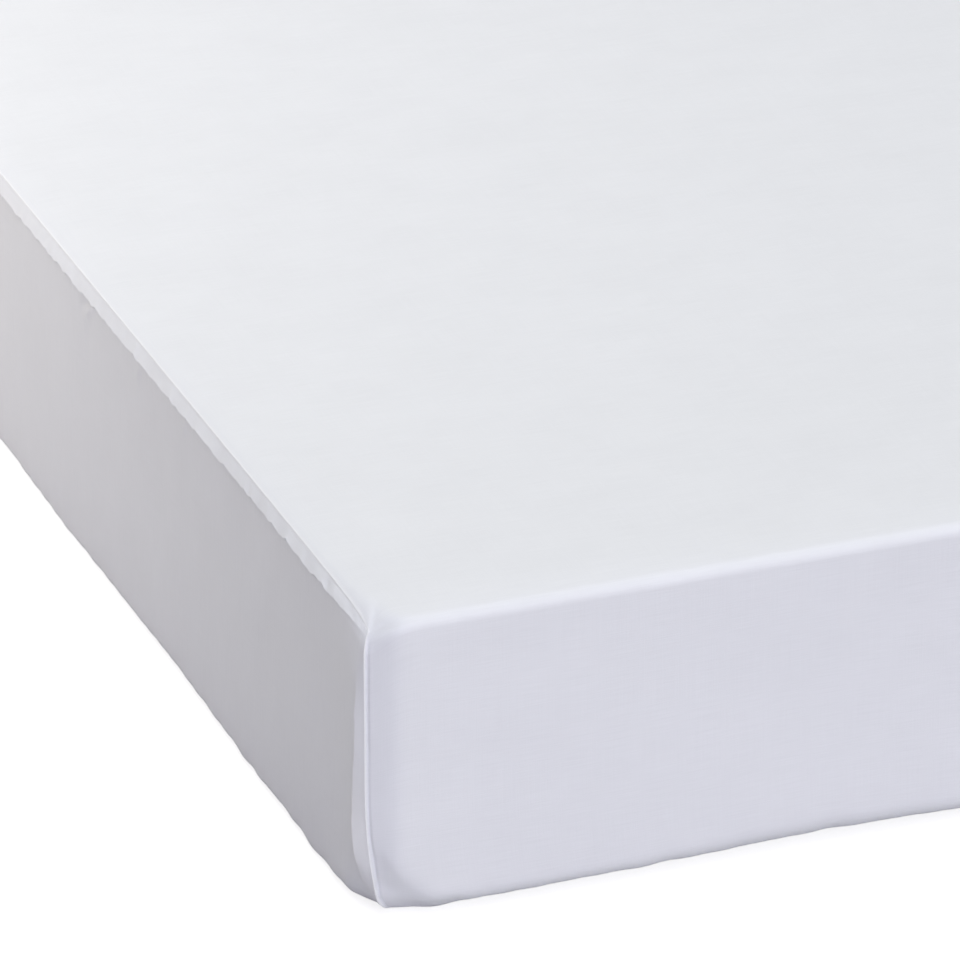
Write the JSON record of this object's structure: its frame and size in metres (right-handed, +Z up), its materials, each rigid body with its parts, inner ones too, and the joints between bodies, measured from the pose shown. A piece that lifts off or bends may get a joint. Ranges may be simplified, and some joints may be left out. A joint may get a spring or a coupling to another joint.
{
  "type": "waterproof fitted mattress protector on a mattress",
  "caption": "White fitted cloth protector pulled over a rectangular mattress, with sewn corners, a seam along the long top edges and a hem turned underneath.",
  "frame": {"origin": "on the floor under the middle of the mattress", "axes": "+X across the foot end, +Y from the foot end towards the head end, +Z up"},
  "size_m": [0.909, 2.0084, 0.2536],
  "materials": {
    "protector_cloth": "matt plain-woven white cloth with a faint cool cast, stretched smooth",
    "mattress_ticking": "matt off-white knitted ticking"
  },
  "bodies": {
    "root": {"main_panel": "protector_cloth", "left_side_panel": "protector_cloth", "right_side_panel": "protector_cloth", "mattress": "mattress_ticking"}
  },
  "joints": []
}
